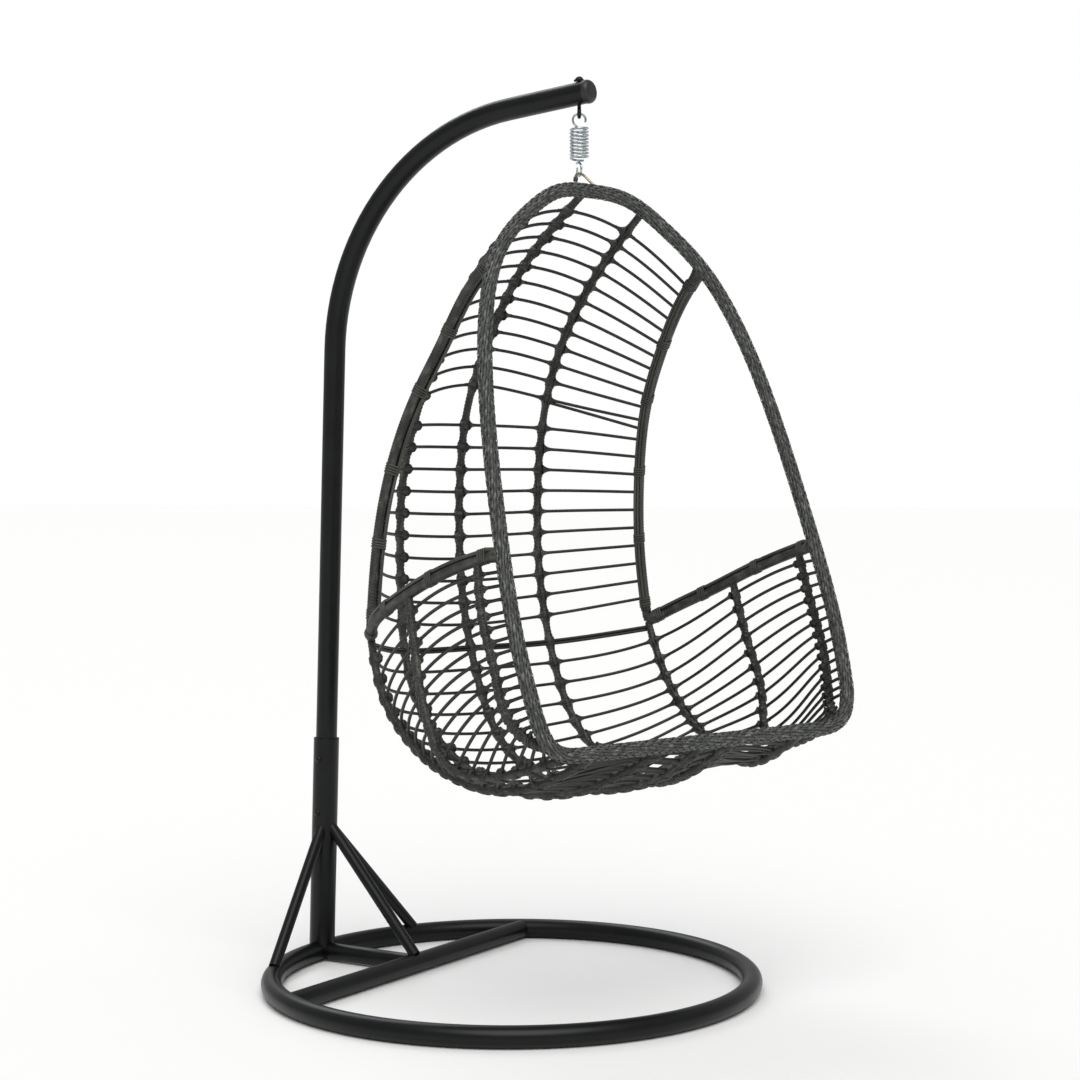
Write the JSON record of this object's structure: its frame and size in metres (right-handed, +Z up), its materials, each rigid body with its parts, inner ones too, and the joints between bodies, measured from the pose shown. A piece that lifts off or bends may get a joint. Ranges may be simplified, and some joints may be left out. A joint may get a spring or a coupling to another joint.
{
  "type": "hanging egg chair",
  "caption": "Teardrop woven swing seat hung on a coil spring from the curved mast of a round tube floor stand.",
  "frame": {"origin": "centre of the base ring, on the floor that the ring stands on", "axes": "+Z up, mast at +Y, arm reaching towards -Y over the ring"},
  "size_m": [1.0853, 1.2192, 1.9542],
  "materials": {
    "powder_coat": "satin near-black powder coat",
    "end_cap": "moulded black plastic",
    "zinc": "bright zinc plated wire",
    "yellow_zinc": "yellow zinc plated rod",
    "frame_steel": "dark painted steel",
    "wicker": "flat dark grey resin weave with lighter streaks",
    "cane": "smooth dark grey resin cane",
    "binding": "flat resin strip wound over canes",
    "rod": "smooth dark resin rod"
  },
  "bodies": {
    "stand": {"base_ring": "powder_coat", "base_crossbar": "powder_coat", "base_strut": "powder_coat", "post_socket": "powder_coat", "socket_screws": "powder_coat", "brace_left": "powder_coat", "brace_right": "powder_coat", "brace_front": "powder_coat", "mast": "powder_coat", "mast_end_cap": "end_cap"},
    "hanger": {"eye_bolt": "powder_coat", "eye_bolt_nut": "powder_coat"},
    "spring": {"spring_coil": "zinc", "spring_top_hook": "zinc"},
    "lower_hook": {"spring_lower_hook": "zinc"},
    "seat": {"armrest_left_canes": "cane", "armrest_left_tube": "frame_steel", "armrest_left_wrap": "wicker", "armrest_right_canes": "cane", "armrest_right_tube": "frame_steel", "armrest_right_wrap": "wicker", "back_foot_rods": "rod", "back_rods_lower": "rod", "back_rods_middle": "rod", "back_rods_upper": "rod", "bindings_left": "binding", "bindings_right": "binding", "hanging_loop": "yellow_zinc", "hanging_loop_wrap": "wicker", "hoops_front_short": "rod", "hoops_lower": "rod", "hoops_middle": "rod", "hoops_upper": "rod", "rib_back_centre": "frame_steel", "rib_back_centre_wrap": "wicker", "rib_back_left": "frame_steel", "rib_back_left_wrap": "wicker", "rib_back_right": "frame_steel", "rib_back_right_wrap": "wicker", "rib_side_front_left": "frame_steel", "rib_side_front_left_wrap": "wicker", "rib_side_front_right": "frame_steel", "rib_side_front_right_wrap": "wicker", "rib_side_middle_left": "frame_steel", "rib_side_middle_left_wrap": "wicker", "rib_side_middle_right": "frame_steel", "rib_side_middle_right_wrap": "wicker", "rib_side_rear_left": "frame_steel", "rib_side_rear_left_wrap": "wicker", "rib_side_rear_right": "frame_steel", "rib_side_rear_right_wrap": "wicker", "rim_tube": "frame_steel", "rim_wrap": "wicker", "upright_left_canes": "cane", "upright_left_tube": "frame_steel", "upright_left_wrap": "wicker", "upright_right_canes": "cane", "upright_right_tube": "frame_steel", "upright_right_wrap": "wicker"}
  },
  "joints": [
    {"name": "swivel", "type": "hinge", "parent": "stand", "child": "hanger", "pos_m": [0, -0.172, 1.877], "axis": [0, 0, 1], "range_deg": [-30, 30]},
    {"name": "hook_tilt", "type": "hinge", "parent": "hanger", "child": "spring", "pos_m": [0, -0.172, 1.869], "axis": [0.8387, 0.5446, 0], "range_deg": [-15, 7]},
    {"name": "spring_bounce", "type": "slide", "parent": "spring", "child": "lower_hook", "axis": [0, 0, -1], "range_m": [0, 0.03], "stiffness_N_per_m": 20000, "springref_m": -0.0125, "deforming": ["spring_coil"]},
    {"name": "loop_tilt", "type": "hinge", "parent": "lower_hook", "child": "seat", "pos_m": [0, -0.172, 1.75], "axis": [0.9563, -0.2924, 0], "range_deg": [-8, 4]}
  ]
}
